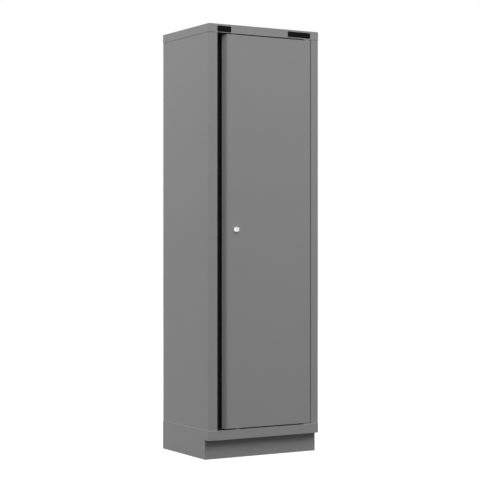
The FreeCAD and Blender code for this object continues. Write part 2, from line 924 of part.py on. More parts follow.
def door_stiffener():
    """Upright hat section welded to the back of the skin."""
    skin_back = face + s.sheet
    half = s.stiffener_width / 2
    foot = half + s.stiffener_foot
    run = [
        (-foot, skin_back + s.sheet), (-half, skin_back + s.sheet),
        (-half, skin_back + s.stiffener_depth), (half, skin_back + s.stiffener_depth),
        (half, skin_back + s.sheet), (foot, skin_back + s.sheet),
    ]
    outline = folded_sheet(turned(run), s.sheet)
    middle = (door_left + door_right) / 2
    height = door_height - s.stiffener_margin * 2
    bottom = door_bottom + s.stiffener_margin
    return extruded("door_stiffener", "XY_Plane", [outline], 0, height, (middle, 0, bottom))


# ---- hinges ----


def hinge_plate(name, level, hole_radius):
    """Plate that spreads the pin's load over the tray."""
    right = post_edge - s.panel_fit
    outline = rectangle(
        right - s.hinge_plate_length, face + s.hinge_plate_setback,
        s.hinge_plate_length, s.hinge_plate_depth,
    )
    body = extruded(name, "XY_Plane", [outline], 0, s.hinge_plate, (0, 0, level))
    cut_hole(body, "XY_Plane", hinge_x, hinge_y, hole_radius, 0, s.hinge_plate)
    return body


def hinge_pin(name, seat, direction, length):
    """Riveted pin: its head bears on the far side of the tray, its tip is in the door."""
    body = new_body(name, hinge_x, hinge_y, seat)
    sketch = new_sketch(body, "XZ_Plane")
    radius = s.pin_radius
    draw_outline(sketch, [
        (0, -s.pin_head * direction), (s.pin_head_radius, -s.pin_head * direction),
        (s.pin_head_radius, 0), (radius, 0),
        (radius, length * direction), (0, length * direction),
    ])
    revolve(body, sketch)
    return body


def hinge_bush(name, door_edge, direction):
    """Flanged plastic bush in the door's end plate, turning on the hinge pin."""
    body = new_body(name, hinge_x, hinge_y, door_edge)
    bore = s.pin_radius + s.pin_running_gap
    sketch = new_sketch(body, "XZ_Plane")
    draw_outline(sketch, [
        (bore, -s.bush_flange * direction), (s.bush_flange_radius, -s.bush_flange * direction),
        (s.bush_flange_radius, 0), (s.bush_radius, 0),
        (s.bush_radius, s.bush_length * direction), (bore, s.bush_length * direction),
    ])
    revolve(body, sketch)
    return body


def hinges():
    """Both hinges: the lower pin points up into the door, the upper one points down."""
    press = s.pin_radius + s.pin_press_gap
    lower_seat = base_top - s.sheet
    upper_seat = cap_bottom + s.sheet
    return [
        hinge_plate("bottom_hinge_plate", base_top, press),
        hinge_plate("top_hinge_plate", cap_bottom - s.hinge_plate, press),
        hinge_pin("bottom_hinge_pin", lower_seat, 1, door_bottom - lower_seat + s.pin_reach),
        hinge_pin("top_hinge_pin", upper_seat, -1, upper_seat - door_top + s.pin_reach),
        hinge_bush("bottom_hinge_bush", door_bottom, 1),
        hinge_bush("top_hinge_bush", door_top, -1),
    ]


# ---- lock ----


def lock_housing():
    """Turned housing: tapered bezel in front of the skin, threaded barrel behind it."""
    body = new_body("lock_housing", lock_x, face, lock_z)
    sketch = new_sketch(body, "XY_Plane")
    bore = s.plug_radius + s.plug_gap
    draw_outline(sketch, [
        (bore, -s.bezel_stand), (s.bezel_radius - s.bezel_taper, -s.bezel_stand),
        (s.bezel_radius, s.bezel_slope - s.bezel_stand),
        (s.bezel_radius, 0), (s.housing_radius, 0),
        (s.housing_radius, s.housing_length), (bore, s.housing_length),
    ])
    revolve(body, sketch)
    return body


def lock_nut():
    """Nut that clamps the housing to the door skin from inside."""
    outline = hexagon(s.lock_nut_flats)
    place = (lock_x, face + s.sheet, lock_z)
    height = s.lock_nut_height
    body = extruded("lock_nut", "XZ_Plane", [outline], -height, height, place)
    cut_hole(body, "XZ_Plane", 0, 0, s.housing_radius + s.housing_gap, -height, height)
    return body


def lock_plug():
    """Key plug: upright key slot in front, flatted tail for the cam behind."""
    body = new_body("lock_plug", lock_x, face, lock_z)
    sketch = new_sketch(body, "XY_Plane")
    nose = s.plug_recess - s.bezel_stand
    tail = cam_rear - face
    draw_outline(sketch, [
        (0, nose), (s.plug_radius, nose), (s.plug_radius, s.housing_length),
        (s.tail_radius, s.housing_length), (s.tail_radius, tail), (0, tail),
    ])
    revolve(body, sketch)
    slot = centred(as_size(0), as_size(0), s.key_slot_width, s.key_slot_height)
    cut_block(body, "XZ_Plane", slot, -(nose + s.key_slot_depth), s.key_slot_depth)
    flat_start = s.housing_length + s.tail_shoulder
    chip = s.tail_radius - s.tail_flat
    for hand in SIDES.values():
        middle = (s.tail_flat + chip) * hand
        chip_outline = centred(middle, as_size(0), chip * 2, s.tail_radius * 2)
        cut_block(body, "XZ_Plane", chip_outline, -tail, tail - flat_start)
    bore = s.screw_shank_radius + s.screw_gap
    cut_hole(body, "XZ_Plane", 0, 0, bore, -tail, s.screw_shank_length)
    return body


def lock_cam():
    """Two-armed cam, with a drive pin at each end that points at the door."""
    body = new_body("lock_cam", lock_x, cam_front, lock_z)
    body.Placement.Rotation = FreeCAD.Rotation(FreeCAD.Vector(0, 1, 0), -CAM_ANGLE)
    length = (s.cam_radius + s.cam_end) * 2
    arm = centred(as_size(0), as_size(0), length, s.cam_width, s.cam_width / 2 - s.cam_gap)
    add_block(body, "XZ_Plane", arm, -s.cam_thickness, s.cam_thickness)
    hole_flats = centred(
        as_size(0), as_size(0),
        (s.tail_flat + s.tail_gap) * 2, (s.tail_radius + s.tail_gap) * 2,
    )
    hole = [((x + y) * CAM_STEP, (y - x) * CAM_STEP) for x, y in hole_flats]
    cut_block(body, "XZ_Plane", hole, -s.cam_thickness, s.cam_thickness)
    sketch = new_sketch(body, "XZ_Plane", -s.cam_thickness)
    for hand in SIDES.values():
        draw_circle(sketch, s.cam_radius * hand, 0, s.drive_pin_radius)
    reach = s.cam_gap + s.rod_thickness + s.rod_gap - s.drive_pin_end_gap
    pad(body, sketch, s.cam_thickness + reach)
    return body


def cam_screw():
    """Screw that holds the cam on the plug's tail."""
    body = new_body("cam_screw", lock_x, cam_rear, lock_z)
    sketch = new_sketch(body, "XY_Plane")
    draw_outline(sketch, [
        (0, s.screw_gap - s.screw_shank_length), (s.screw_shank_radius, s.screw_gap - s.screw_shank_length),
        (s.screw_shank_radius, 0), (s.screw_head_radius, 0),
        (s.screw_head_radius, s.screw_head_height), (0, s.screw_head_height),
    ])
    revolve(body, sketch)
    return body


# ---- locking rods ----


def locking_rod(name, direction, length):
    """Flat bar with a cross slot for its drive pin and a rounded tip.

    Its origin is the middle of the slot's height on the lock's own axis line."""
    offset = rod_offset * -direction
    body = new_body(name, lock_x, rod_rear, lock_z - cam_side * direction)
    low = -s.rod_head - s.drive_pin_radius
    bottom = low if direction > 0 else -length
    bar = rectangle(offset - s.rod_width / 2, bottom, s.rod_width, length - low)
    tip = (2, 3) if direction > 0 else (0, 1)
    outline = [c + (s.rod_tip_radius,) if n in tip else c for n, c in enumerate(bar)]
    add_block(body, "XZ_Plane", outline, 0, s.rod_thickness)
    half_slot = s.drive_pin_radius + s.slot_play
    slot_width = s.cam_radius - cam_side + half_slot * 2
    slot = centred(offset, as_size(0), slot_width, half_slot * 2, half_slot - s.slot_flat / 2)
    cut_block(body, "XZ_Plane", slot, 0, s.rod_thickness)
    return body


def rods():
    """The upper rod hangs from the cam's left arm, the lower one from its right arm."""
    upper_slot = lock_z - cam_side
    lower_slot = lock_z + cam_side
    upper = locking_rod("upper_locking_rod", 1, door_top - s.rod_retreat - upper_slot)
    lower = locking_rod("lower_locking_rod", -1, lower_slot - door_bottom - s.rod_retreat)
    return [upper, lower]


def rod_guides():
    """Four hat brackets on the door's inner face that the rods run through."""
    inner = s.rod_width / 2 + s.guide_play
    outer = inner + s.guide_wall
    foot = outer + s.guide_foot
    roof = s.rod_gap + s.rod_thickness + s.guide_play + s.guide_wall
    profile = [
        (-foot, s.guide_wall), (-outer, s.guide_wall), (-outer, roof),
        (outer, roof), (outer, s.guide_wall), (foot, s.guide_wall),
    ]
    outline = folded_sheet(turned(profile), s.guide_wall)
    levels = {
        -rod_offset: (s.lock_height + s.guide_lock_distance, door_height - s.guide_end_distance),
        rod_offset: (s.lock_height - s.guide_lock_distance, s.guide_end_distance),
    }
    body = new_body("rod_guides", lock_x, door_rear, door_bottom)
    for offset, heights in levels.items():
        moved = [(x + offset, y) for x, y in outline]
        for level in heights:
            add_block(body, "XY_Plane", moved, level - s.guide_height / 2, s.guide_height)
    return body


def keeper(name, x, level):
    """Slotted plate that the end of a rod shoots through."""
    plate = centred(as_size(0), as_size(0), s.keeper_width, s.keeper_length)
    body = extruded(name, "XY_Plane", [plate], 0, s.keeper_thickness, (x, rod_middle, level))
    width = s.rod_width + s.keeper_play * 2
    depth = s.rod_thickness + s.keeper_play * 2
    slot = centred(as_size(0), as_size(0), width, depth)
    cut_block(body, "XY_Plane", slot, 0, s.keeper_thickness)
    return body


def keepers():
    return [
        keeper("upper_rod_keeper", lock_x - rod_offset, cap_bottom - s.keeper_thickness),
        keeper("lower_rod_keeper", lock_x + rod_offset, base_top),
    ]


# ---- shelves ----


def upright(hand, end):
    """Slotted channel on a side panel."""
    direction = SIDES[hand]
    y = upright_front if end == "front" else upright_rear
    run = [
        (-side_inner, s.upright_width), (-upright_face, s.upright_width, s.bend),
        (-upright_face, 0, s.bend), (-side_inner, 0),
    ]
    if direction > 0:
        run = mirrored(run)
    outline = folded_sheet(turned(run), s.sheet)
    body = extruded(
        f"shelf_upright_{end}_{hand}", "XY_Plane", [outline], 0, upright_length,
        (0, y, upright_bottom),
    )
    slot = centred(s.upright_width / 2, s.first_slot, s.slot_width, s.slot_height)
    start = upright_face * direction - through_sheet / 2
    pocket = cut_block(body, "YZ_Plane", slot, start, through_sheet)
    pattern = body.newObject("PartDesign::LinearPattern", f"{body.Name}_slots")
    pattern.Originals = [pocket]
    pattern.Direction = (origin_part(body, "Z_Axis"), [""])
    pattern.Mode = "Spacing"
    bind(pattern, "Offset", s.slot_pitch)
    bind(pattern, "Occurrences", slot_count)
    body.Tip = pattern
    document.recompute()
    return body


def shelf_slot_level(number):
    """Height of the slots that the clips of a shelf hang in, counted from the lowest shelf."""
    slots = s.first_shelf_slots + s.shelf_spacing_slots * number
    return upright_bottom + s.first_slot + slots * s.slot_pitch


def shelf_clips():
    """Angle clips hooked into the uprights, four for each shelf."""
    body = new_body("shelf_clips", 0, 0, 0)
    for y in (upright_front, upright_rear):
        far_end = y + s.upright_width / 2 + s.clip_width / 2
        sketch = new_sketch(body, "XZ_Plane", -far_end)
        for number in range(SHELF_COUNT):
            for direction in SIDES.values():
                draw_outline(sketch, clip_outline(direction, shelf_slot_level(number)))
        pad(body, sketch, s.clip_width)
    return body


def clip_outline(direction, level):
    """Side view of a clip: hook over the lower edge of its slot, plate and ledge."""
    behind = upright_face + s.sheet + s.clip_hook_gap
    low = level - s.slot_height / 2
    high = low + s.clip_plate
    points = [
        (upright_face - s.clip_ledge, high),
        (behind + s.clip_plate, high),
        (behind + s.clip_plate, low - s.clip_hook_drop),
        (behind, low - s.clip_hook_drop),
        (behind, low),
        (upright_face, low),
        (upright_face, high - s.clip_height),
        (upright_face - s.clip_plate, high - s.clip_height),
        (upright_face - s.clip_plate, low),
        (upright_face - s.clip_ledge, low),
    ]
    return [(x * direction, z) for x, z in points]


def shelf(number):
    """Folded shelf: hemmed edges in front and behind, short flanges at its ends."""
    seat = shelf_slot_level(number) - s.slot_height / 2 + s.clip_plate
    top = seat + s.shelf_end_flange
    y_front = face + s.shelf_front_depth
    y_back = back_panel_front - s.shelf_back_gap
    half = upright_face - s.shelf_side_gap
    run = [
        (y_front + s.shelf_hem, -s.shelf_edge), (y_front, -s.shelf_edge),
        (y_front, 0, s.bend), (y_back, 0, s.bend),
        (y_back, -s.shelf_edge), (y_back - s.shelf_hem, -s.shelf_edge),
    ]
    outline = folded_sheet(turned(run), s.shelf_sheet)
    body = extruded(
        f"shelf_{number + 1}", "YZ_Plane", [outline], -half, half * 2, (0, 0, top),
    )
    for start in (-half, half - s.shelf_sheet):
        end_flange = rectangle(
            y_front + s.bend, -s.shelf_end_flange,
            y_back - y_front - s.bend * 2, s.shelf_end_flange - s.shelf_sheet / 2,
        )
        add_block(body, "YZ_Plane", end_flange, start, s.shelf_sheet)
    return body


# ---- badges ----


def badge(name, x, width, height, lift):
    """Blank plate with a raised rim on the cap's front face."""
    body = new_body(name, x, front, cap_bottom + lift)
    outline = rectangle(as_size(0), as_size(0), width, height, s.badge_radius)
    add_block(body, "XZ_Plane", outline, 0, s.badge_thickness)
    field = inset(outline, s.badge_rim)
    cut_block(body, "XZ_Plane", field, s.badge_thickness - s.badge_recess, s.badge_recess)
    return body


def badges():
    right_x = half_width - s.right_badge_edge - s.right_badge_width
    return [
        badge("left_badge", s.left_badge_edge - half_width,
              s.left_badge_width, s.left_badge_height, s.left_badge_lift),
        badge("right_badge", right_x,
              s.right_badge_width, s.right_badge_height, s.right_badge_lift),
    ]


# ---- the whole locker ----


def build():
    bodies = [side_panel(hand) for hand in SIDES]
    bodies += [back_panel(), floor_tray(), ceiling_tray(), top_cap()]
    bodies += [base_skirt(), toe_kick_panel(), plinth_rear_rail()]
    bodies += [foot_rail(hand) for hand in SIDES]
    bodies.append(foot_nuts())
    for end, y in (("front", foot_front_y), ("rear", foot_rear_y)):
        for hand, direction in SIDES.items():
            bodies.append(foot_stud(f"foot_stud_{end}_{hand}", foot_x * direction, y))
            bodies.append(foot_pad(f"foot_pad_{end}_{hand}", foot_x * direction, y))
    bodies += [finger_pull_channel(), door_seal_strip()]
    bodies += [door_skin(), door_inner_pan(), door_stiffener()]
    bodies += hinges()
    bodies += [lock_housing(), lock_nut(), lock_plug(), lock_cam(), cam_screw()]
    bodies += rods()
    bodies.append(rod_guides())
    bodies += keepers()
    bodies += [upright(hand, end) for end in ("front", "rear") for hand in SIDES]
    bodies.append(shelf_clips())
    bodies += [shelf(number) for number in range(SHELF_COUNT)]
    bodies += badges()
    return bodies


def check(bodies):
    """Stops before anything is written if a feature failed or a shape is not sound."""
    for thing in document.Objects:
        if {"Invalid", "Error"} & set(thing.State):
            raise RuntimeError(f"{thing.Label} failed: {thing.State}")
    for body in bodies:
        if body.Shape.isNull() or not body.Shape.isValid():
            raise RuntimeError(f"{body.Label} has no sound shape")


def write(bodies):
    os.makedirs("parts", exist_ok=True)
    for body in bodies:
        body.Shape.exportStep(os.path.join("parts", f"{body.Label}.step"))


locker = build()
document.recompute()
check(locker)
write(locker)
print(len(locker), "pieces written")
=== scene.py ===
import json
import math

import bmesh
import bpy
from mathutils import Matrix, Vector

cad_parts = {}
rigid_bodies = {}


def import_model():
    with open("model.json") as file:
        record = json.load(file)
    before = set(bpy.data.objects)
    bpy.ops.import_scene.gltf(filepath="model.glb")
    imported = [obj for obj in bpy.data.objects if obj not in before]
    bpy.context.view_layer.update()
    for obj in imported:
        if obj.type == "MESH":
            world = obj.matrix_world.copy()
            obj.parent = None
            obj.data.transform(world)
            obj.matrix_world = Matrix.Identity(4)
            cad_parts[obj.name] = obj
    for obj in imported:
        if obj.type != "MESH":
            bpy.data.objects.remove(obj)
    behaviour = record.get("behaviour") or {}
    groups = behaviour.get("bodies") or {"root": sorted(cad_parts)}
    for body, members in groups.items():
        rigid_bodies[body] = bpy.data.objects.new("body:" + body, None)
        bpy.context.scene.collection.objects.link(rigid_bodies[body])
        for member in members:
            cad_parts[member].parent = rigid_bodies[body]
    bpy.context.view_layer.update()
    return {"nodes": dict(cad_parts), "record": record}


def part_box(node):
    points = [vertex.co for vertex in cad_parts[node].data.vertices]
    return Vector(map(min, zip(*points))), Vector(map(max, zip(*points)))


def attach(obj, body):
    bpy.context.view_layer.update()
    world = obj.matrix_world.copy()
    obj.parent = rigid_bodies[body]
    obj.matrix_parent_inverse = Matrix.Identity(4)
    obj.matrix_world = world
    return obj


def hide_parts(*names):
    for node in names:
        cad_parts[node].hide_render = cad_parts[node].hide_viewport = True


# Tall grey sheet-steel side locker, in metres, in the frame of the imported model:
# the origin is at the centre of the footprint, the door faces -Y and +Z is up.

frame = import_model()
NODES = frame["nodes"]

# ---- colours (linear) ----

PAINT_GREY = (0.232, 0.232, 0.234)
PAINT_SPECK = (0.262, 0.262, 0.264)
PAINT_PORE = (0.200, 0.200, 0.202)
PAINT_CLOUD = (0.95, 0.95, 0.95)
CHANNEL_BLACK = (0.020, 0.020, 0.021)
CHANNEL_SCUFF = (0.032, 0.032, 0.032)
RUBBER_BLACK = (0.010, 0.010, 0.011)
RUBBER_DUST = (0.030, 0.029, 0.028)
CHROME_LIGHT = (0.96, 0.96, 0.97)
CHROME_DARK = (0.84, 0.85, 0.86)
ZINC_LIGHT = (0.50, 0.52, 0.545)
ZINC_DARK = (0.34, 0.36, 0.39)
ZINC_WARM = (0.47, 0.455, 0.41)
NYLON_CREAM = (0.70, 0.67, 0.59)
NYLON_SHADE = (0.58, 0.55, 0.47)
BADGE_BLACK = (0.004, 0.004, 0.0045)
BADGE_SPECK = (0.009, 0.009, 0.010)
FOOT_BLACK = (0.012, 0.012, 0.012)
FOOT_SCUFF = (0.040, 0.039, 0.037)
WHITE = (1.0, 1.0, 1.0)
FLOOR_PALE = (0.18, 0.18, 0.18)
FLOOR_BOUNCE = (0.03, 0.03, 0.03)

# ---- materials ----

EDGE_SAMPLES = 6
FINE_EDGE = 0.0004  # soft edges of small pieces
PAINT_EDGE = 0.0013  # soft edges of painted sheet
NOISE_LOW = 0.3  # a noise texture seldom leaves these two values
NOISE_HIGH = 0.7
CLOUD_SHARE = 0.6  # how much of the cloudy tone the paint takes


class Shader:
    """Builds one node material: a small wrapper round the node tree.

    "edge" is the radius in metres by which the shading rounds off each edge. "fixed" names
    sockets that are the same all over the surface, with _ for each space in a name."""

    def __init__(self, name, edge=FINE_EDGE, **fixed):
        self.edge = edge
        self.material = bpy.data.materials.new(name)
        self.material.use_nodes = True
        self.tree = self.material.node_tree
        self.surface = self.tree.nodes["Principled BSDF"]
        for socket, value in fixed.items():
            self.surface.inputs[socket.replace("_", " ")].default_value = value
        self.place = self.add("ShaderNodeTexCoord").outputs["Object"]

    def add(self, kind, **fields):
        node = self.tree.nodes.new(kind)
        for field, value in fields.items():
            setattr(node, field, value)
        return node

    def feed(self, source, target):
        """Links a socket to the target, or gives the target a plain colour or number."""
        if isinstance(source, bpy.types.NodeSocket):
            self.tree.links.new(source, target)
        elif isinstance(source, tuple):
            target.default_value = (*source, 1.0)
        else:
            target.default_value = source

    def stretched(self, scale):
        """Object coordinates scaled by axis, for grain that runs one way."""
        mapping = self.add("ShaderNodeMapping")
        mapping.inputs["Scale"].default_value = scale
        self.feed(self.place, mapping.inputs["Vector"])
        return mapping.outputs["Vector"]

    def noise(self, scale, detail, roughness, vector=None):
        node = self.add("ShaderNodeTexNoise")
        node.inputs["Scale"].default_value = scale
        node.inputs["Detail"].default_value = detail
        node.inputs["Roughness"].default_value = roughness
        self.feed(vector or self.place, node.inputs["Vector"])
        return node.outputs["Fac"]

    def cells(self, scale):
        node = self.add("ShaderNodeTexVoronoi", feature="F1")
        node.inputs["Scale"].default_value = scale
        self.feed(self.place, node.inputs["Vector"])
        return node.outputs["Distance"]

    def ramp(self, factor, *stops):
        """The factor as a colour, from (position, colour) stops."""
        node = self.add("ShaderNodeValToRGB")
        elements = node.color_ramp.elements
        while len(elements) < len(stops):
            elements.new(0.5)
        for element, (position, colour) in zip(elements, stops):
            element.position = position
            element.color = (*colour, 1.0)
        self.feed(factor, node.inputs["Fac"])
        return node.outputs["Color"]

    def span(self, factor, low, high, start=NOISE_LOW, end=NOISE_HIGH):
        """The factor moved from the range start to end into the range low to high."""
        node = self.add("ShaderNodeMapRange")
        node.inputs["From Min"].default_value = start
        node.inputs["From Max"].default_value = end
        node.inputs["To Min"].default_value = low
        node.inputs["To Max"].default_value = high
        self.feed(factor, node.inputs["Value"])
        return node.outputs["Result"]

    def mix(self, factor, first, second, blend="MIX"):
        """Two colours mixed by a factor. Each of the three is a socket or a plain value."""
        node = self.add("ShaderNodeMix", data_type="RGBA", blend_type=blend)
        self.feed(factor, node.inputs["Factor"])
        self.feed(first, node.inputs["A"])
        self.feed(second, node.inputs["B"])
        return node.outputs["Result"]

    def colour(self, source):
        self.feed(source, self.surface.inputs["Base Color"])

    def rough(self, source):
        self.feed(source, self.surface.inputs["Roughness"])

    def soft_edges(self):
        node = self.add("ShaderNodeBevel", samples=EDGE_SAMPLES)
        node.inputs["Radius"].default_value = self.edge
        return node.outputs["Normal"]

    def bump(self, *layers):
        """Soft edges with (height, depth in metres) layers of bump on them."""
        normal = self.soft_edges()
        for height, depth in layers:
            node = self.add("ShaderNodeBump")
            node.inputs["Strength"].default_value = 1.0
            node.inputs["Distance"].default_value = depth
            self.feed(height, node.inputs["Height"])
            self.feed(normal, node.inputs["Normal"])
            normal = node.outputs["Normal"]
        self.feed(normal, self.surface.inputs["Normal"])


def grey_paint(name, edge):
    """Satin powder coat with a fine orange-peel skin."""
    paint = Shader(
        name, edge, Specular_IOR_Level=0.26, Coat_Weight=0.03, Coat_Roughness=0.25,
    )
    peel = paint.noise(scale=900.0, detail=3.0, roughness=0.55)
    speck = paint.noise(scale=2600.0, detail=1.0, roughness=0.6)
    cloud = paint.noise(scale=5.0, detail=3.0, roughness=0.6)
    grain = paint.ramp(speck, (0.30, PAINT_PORE), (0.50, PAINT_GREY), (0.72, PAINT_SPECK))
    tone = paint.ramp(cloud, (0.25, PAINT_CLOUD), (0.75, WHITE))
    paint.colour(paint.mix(CLOUD_SHARE, grain, tone, "MULTIPLY"))
    paint.rough(paint.span(peel, low=0.36, high=0.50))
    paint.bump((peel, 0.00002), (speck, 0.000008))
    return paint.material


def black_channel():
    """Extruded black plastic with drawing lines along its length and faint scuffs."""
    plastic = Shader("black_extrusion", Specular_IOR_Level=0.35)
    along = plastic.stretched((20.0, 20.0, 0.15))
    lines = plastic.noise(scale=60.0, detail=4.0, roughness=0.7, vector=along)
    scuffs = plastic.noise(scale=35.0, detail=5.0, roughness=0.65)
    plastic.colour(plastic.ramp(scuffs, (0.45, CHANNEL_BLACK), (0.80, CHANNEL_SCUFF)))
    plastic.rough(plastic.span(lines, low=0.36, high=0.58))
    plastic.bump((lines, 0.00003))
    return plastic.material


def black_rubber():
    """Dull black rubber with a fine grain and a little dust."""
    rubber = Shader("black_rubber", Specular_IOR_Level=0.25)
    grain = rubber.noise(scale=700.0, detail=3.0, roughness=0.6)
    dust = rubber.noise(scale=12.0, detail=4.0, roughness=0.6)
    rubber.colour(rubber.ramp(dust, (0.45, RUBBER_BLACK), (0.85, RUBBER_DUST)))
    rubber.rough(rubber.span(grain, low=0.70, high=0.90))
    rubber.bump((grain, 0.00004))
    return rubber.material


def lock_chrome():
    """Polished chrome with hair-fine swirls and a little haze."""
    chrome = Shader("polished_chrome", Metallic=1.0)
    haze = chrome.noise(scale=90.0, detail=3.0, roughness=0.6)
    swirl = chrome.noise(scale=1400.0, detail=2.0, roughness=0.7)
    chrome.colour(chrome.ramp(haze, (0.30, CHROME_DARK), (0.65, CHROME_LIGHT)))
    chrome.rough(chrome.span(swirl, low=0.05, high=0.14, end=0.75))
    chrome.bump((swirl, 0.000004))
    return chrome.material


def zinc_steel():
    """Bright zinc plate: rolled grain, soft spangle and a faint warm tint."""
    zinc = Shader("zinc_plate", Metallic=1.0)
    along = zinc.stretched((1.0, 1.0, 0.06))
    spangle = zinc.cells(scale=160.0)
    grain = zinc.noise(scale=500.0, detail=4.0, roughness=0.7, vector=along)
    tint = zinc.noise(scale=22.0, detail=3.0, roughness=0.6)
    plate = zinc.ramp(spangle, (0.05, ZINC_LIGHT), (0.75, ZINC_DARK))
    warm = zinc.span(tint, low=0.0, high=0.45, start=0.45, end=0.8)
    zinc.colour(zinc.mix(warm, plate, ZINC_WARM))
    zinc.rough(zinc.span(grain, low=0.26, high=0.46))
    zinc.bump((grain, 0.00001))
    return zinc.material


def nylon():
    """Cloudy natural nylon that lets a little light in."""
    bush = Shader("natural_nylon", Subsurface_Weight=0.12, Subsurface_Scale=0.001)
    cloud = bush.noise(scale=260.0, detail=3.0, roughness=0.6)
    bush.colour(bush.ramp(cloud, (0.35, NYLON_CREAM), (0.75, NYLON_SHADE)))
    bush.rough(bush.span(cloud, low=0.40, high=0.55))
    bush.bump((cloud, 0.00002))
    return bush.material


def badge_black():
    """Satin black with the faint ripple of a moulded face."""
    badge = Shader("satin_black_badge", Specular_IOR_Level=0.05)
    ripple = badge.noise(scale=160.0, detail=2.0, roughness=0.5)
    specks = badge.noise(scale=1500.0, detail=1.0, roughness=0.5)
    badge.colour(badge.ramp(specks, (0.5, BADGE_BLACK), (0.85, BADGE_SPECK)))
    badge.rough(badge.span(ripple, low=0.44, high=0.58))
    badge.bump((ripple, 0.00002))
    return badge.material


def foot_plastic():
    """Black plastic with a coarse moulded grain and pale scuffs."""
    foot = Shader("moulded_foot_plastic")
    grain = foot.noise(scale=420.0, detail=4.0, roughness=0.65)
    scuffs = foot.noise(scale=60.0, detail=4.0, roughness=0.7)
    foot.colour(foot.ramp(scuffs, (0.48, FOOT_BLACK), (0.85, FOOT_SCUFF)))
    foot.rough(foot.span(grain, low=0.45, high=0.68))
    foot.bump((grain, 0.00006))
    return foot.material


MATERIALS = {
    "grey_paint": grey_paint("grey_powder_coat", PAINT_EDGE),
    "black_channel": black_channel(),
    "black_rubber": black_rubber(),
    "lock_chrome": lock_chrome(),
    "zinc_steel": zinc_steel(),
    "nylon": nylon(),
    "badge_black": badge_black(),
    "foot_plastic": foot_plastic(),
}

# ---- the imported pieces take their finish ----

for part in frame["record"]["subparts"]:
    node = NODES[part["node"]]
    node.data.materials.clear()
    node.data.materials.append(MATERIALS[part["material_slot"]])
    # Kept as a quaternion, a body's turn stays exact where Euler angles would lock,
    # as they do when the key is turned 90 degrees in the open door.
    node.parent.rotation_mode = "QUATERNION"

# ---- small pieces: how they are made ----

STEPS = 20  # sides of a small turned form
SHARP_ANGLE = math.radians(35)
DECIMALS = 5  # of a metre, to which places are compared
TOUCH = 10 ** -DECIMALS
UP = Matrix.Identity(4)
DOWN = Matrix.Rotation(math.pi, 4, "X")
BACKWARDS = Matrix.Rotation(-math.pi / 2, 4, "X")


def node_corners(name):
    """The corners of the mesh of a CAD node."""
    return [vertex.co for vertex in NODES[name].data.vertices]


def add_turned(mesh, profile, place):
    """Adds a form turned about its own Z axis, from (radius, height) points up its outside."""
    rings = []
    for radius, height in profile:
        turns = [math.tau * step / STEPS for step in range(STEPS if radius else 1)]
        points = [(radius * math.cos(turn), radius * math.sin(turn), height) for turn in turns]
        rings.append([mesh.verts.new(place @ Vector(point)) for point in points])
    for low, high in zip(rings, rings[1:]):
        for step in range(STEPS):
            following = (step + 1) % STEPS
            corners = [low[step % len(low)], low[following % len(low)]]
            corners += [high[following % len(high)], high[step % len(high)]]
            mesh.faces.new(dict.fromkeys(corners))


def add_piece(name, mesh, body, slot, replaced=None, material=None):
    """Makes a piece from a bmesh: it rides on a body and takes a slot of the record.

    "replaced" is the CAD node that it stands for, and "material" is one of its own."""
    bmesh.ops.recalc_face_normals(mesh, faces=mesh.faces)
    data = bpy.data.meshes.new(name)
    mesh.to_mesh(data)
    mesh.free()
    data.materials.append(material or MATERIALS[slot])
    data.shade_smooth()
    data.set_sharp_from_angle(angle=SHARP_ANGLE)
    piece = bpy.data.objects.new(name, data)
    bpy.context.scene.collection.objects.link(piece)
    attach(piece, body)
    if replaced:
        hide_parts(replaced)


# ---- rivets ----

RIVET_RINGS = 4
PLATE_RIVET = (0.0028, 0.0011)  # radius and height of the heads on hinge plates and keepers
GUIDE_RIVET = (0.0020, 0.0010)
HINGE_RIVET_INSET = 0.007  # from the plate's edges to the middle of a head
KEEPER_RIVET_INSET = 0.006
GUIDE_RIVET_INSET = 0.003
GUIDE_SHEET = 0.0015


def dome(radius, height):
    """Profile of a rivet's domed head, closed below."""
    quarter = [math.pi / 2 * ring / RIVET_RINGS for ring in range(RIVET_RINGS + 1)]
    rim = [(radius * math.cos(turn), height * math.sin(turn)) for turn in quarter[:-1]]
    return [(0, 0), *rim, (0, height)]


def add_rivets(name, body, direction, places, radius, height):
    mesh = bmesh.new()
    for place in places:
        add_turned(mesh, dome(radius, height), Matrix.Translation(place) @ direction)
    add_piece(name, mesh, body, "zinc_steel")


def hinge_rivets():
    """Two heads behind the pin on each hinge plate."""
    for end, direction in (("bottom", UP), ("top", DOWN)):
        low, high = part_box(f"{end}_hinge_plate")
        level = high.z if end == "bottom" else low.z
        across = (low.x + HINGE_RIVET_INSET, high.x - HINGE_RIVET_INSET)
        places = [(x, high.y - HINGE_RIVET_INSET, level) for x in across]
        add_rivets(f"{end}_hinge_plate_rivets", "carcass", direction, places, *PLATE_RIVET)


def keeper_rivets():
    """One head at each end of the slotted plates that the rods shoot through."""
    for end, direction in (("lower", UP), ("upper", DOWN)):
        low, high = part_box(f"{end}_rod_keeper")
        level = high.z if end == "lower" else low.z
        middle = (low.x + high.x) / 2
        along = (low.y + KEEPER_RIVET_INSET, high.y - KEEPER_RIVET_INSET)
        places = [(middle, y, level) for y in along]
        add_rivets(f"{end}_keeper_rivets", "carcass", direction, places, *PLATE_RIVET)


def guide_rivets():
    """One head on each foot of the brackets that guide the rods."""
    corners = node_corners("rod_guides")
    face = min(corner.y for corner in corners) + GUIDE_SHEET
    levels = sorted({round(corner.z, DECIMALS) for corner in corners})
    places = []
    for low, high in zip(levels[::2], levels[1::2]):
        across = [corner.x for corner in corners if low <= round(corner.z, DECIMALS) <= high]
        feet = (min(across) + GUIDE_RIVET_INSET, max(across) - GUIDE_RIVET_INSET)
        places += [(x, face, (low + high) / 2) for x in feet]
    add_rivets("guide_rivets", "door", BACKWARDS, places, *GUIDE_RIVET)


# ---- spot welds ----

